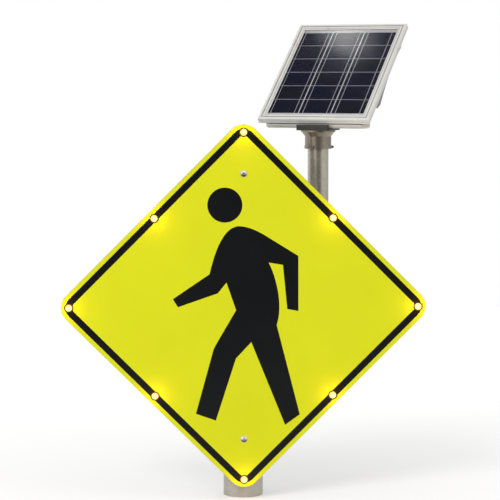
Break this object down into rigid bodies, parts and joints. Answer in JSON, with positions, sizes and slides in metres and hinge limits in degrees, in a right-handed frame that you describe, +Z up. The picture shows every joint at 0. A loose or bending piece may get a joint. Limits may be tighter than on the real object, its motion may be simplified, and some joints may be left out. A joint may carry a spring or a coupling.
{
  "type": "illuminated pedestrian crossing sign",
  "caption": "Diamond crossing sign with border lights on a round post stub, and a tilted solar panel head that swivels on a side mast.",
  "frame": {"origin": "centre of the main post's open lower end", "axes": "+Z up along the post, +X to the right of someone who faces the sign, -Y towards them"},
  "size_m": [1.038, 0.4632, 1.3653],
  "materials": {
    "galvanised_post": "weathered galvanised",
    "galvanised_mast": "galvanised",
    "zinc_strut": "zinc plated",
    "stainless": "bright stainless",
    "cast_fitting": "cast, satin",
    "sign_sheeting": "aluminium plate with fluorescent yellow-green sheeting on its face",
    "wiring_channel": "mill finish",
    "lens_amber": "clear amber",
    "light_housing": "moulded black",
    "gland_plastic": "moulded black",
    "dark_saddle": "dark grey powder coat",
    "trough_paint": "satin, formed sheet",
    "seal_rubber": "soft black",
    "cell_sleeve": "shrink sleeve",
    "panel_frame": "pale anodised",
    "panel_glass": "clear, flat",
    "solar_cells": "dark violet-black cells on a white sheet",
    "cradle_sheet": "folded sheet",
    "circuit_board": "green board"
  },
  "bodies": {
    "sign_on_post": {"band_clamp_lower": "stainless", "band_clamp_upper": "stainless", "clamp_bolts": "stainless", "clamp_screws": "stainless", "face_bolt_nuts": "stainless", "face_bolts": "stainless", "face_washers": "stainless", "harness_gland": "gland_plastic", "led_body_1": "light_housing", "led_body_2": "light_housing", "led_body_3": "light_housing", "led_body_4": "light_housing", "led_body_5": "light_housing", "led_body_6": "light_housing", "led_body_7": "light_housing", "led_body_8": "light_housing", "led_lens_1": "lens_amber", "led_lens_2": "lens_amber", "led_lens_3": "lens_amber", "led_lens_4": "lens_amber", "led_lens_5": "lens_amber", "led_lens_6": "lens_amber", "led_lens_7": "lens_amber", "led_lens_8": "lens_amber", "main_post": "galvanised_post", "mast": "galvanised_mast", "mast_clamp_lower": "zinc_strut", "mast_clamp_upper": "zinc_strut", "mast_end_cap": "cast_fitting", "mast_gland": "gland_plastic", "post_cap": "cast_fitting", "post_clamp_lower": "zinc_strut", "post_clamp_upper": "zinc_strut", "sign_bracket_lower": "cast_fitting", "sign_bracket_upper": "cast_fitting", "sign_panel": "sign_sheeting", "strut_lower": "zinc_strut", "strut_upper": "zinc_strut", "wire_channel_lower_left": "wiring_channel", "wire_channel_lower_right": "wiring_channel", "wire_channel_upper_left": "wiring_channel", "wire_channel_upper_right": "wiring_channel"},
    "solar_head": {"battery_cells": "cell_sleeve", "battery_trough": "trough_paint", "cell_sheet": "solar_cells", "controller_board": "circuit_board", "frame_rail_bottom": "panel_frame", "frame_rail_left": "panel_frame", "frame_rail_right": "panel_frame", "frame_rail_top": "panel_frame", "head_saddle": "dark_saddle", "panel_cradle": "cradle_sheet", "panel_glass": "panel_glass", "saddle_bolts": "stainless", "set_screws": "stainless", "slip_fitter": "cast_fitting", "trough_gasket": "seal_rubber", "wire_grommet": "seal_rubber"}
  },
  "joints": [
    {"name": "solar_swivel", "type": "hinge", "parent": "sign_on_post", "child": "solar_head", "pos_m": [0.2184, 0.027, 1.0451], "axis": [0, 0, 1], "range_deg": [-180, 180]}
  ]
}
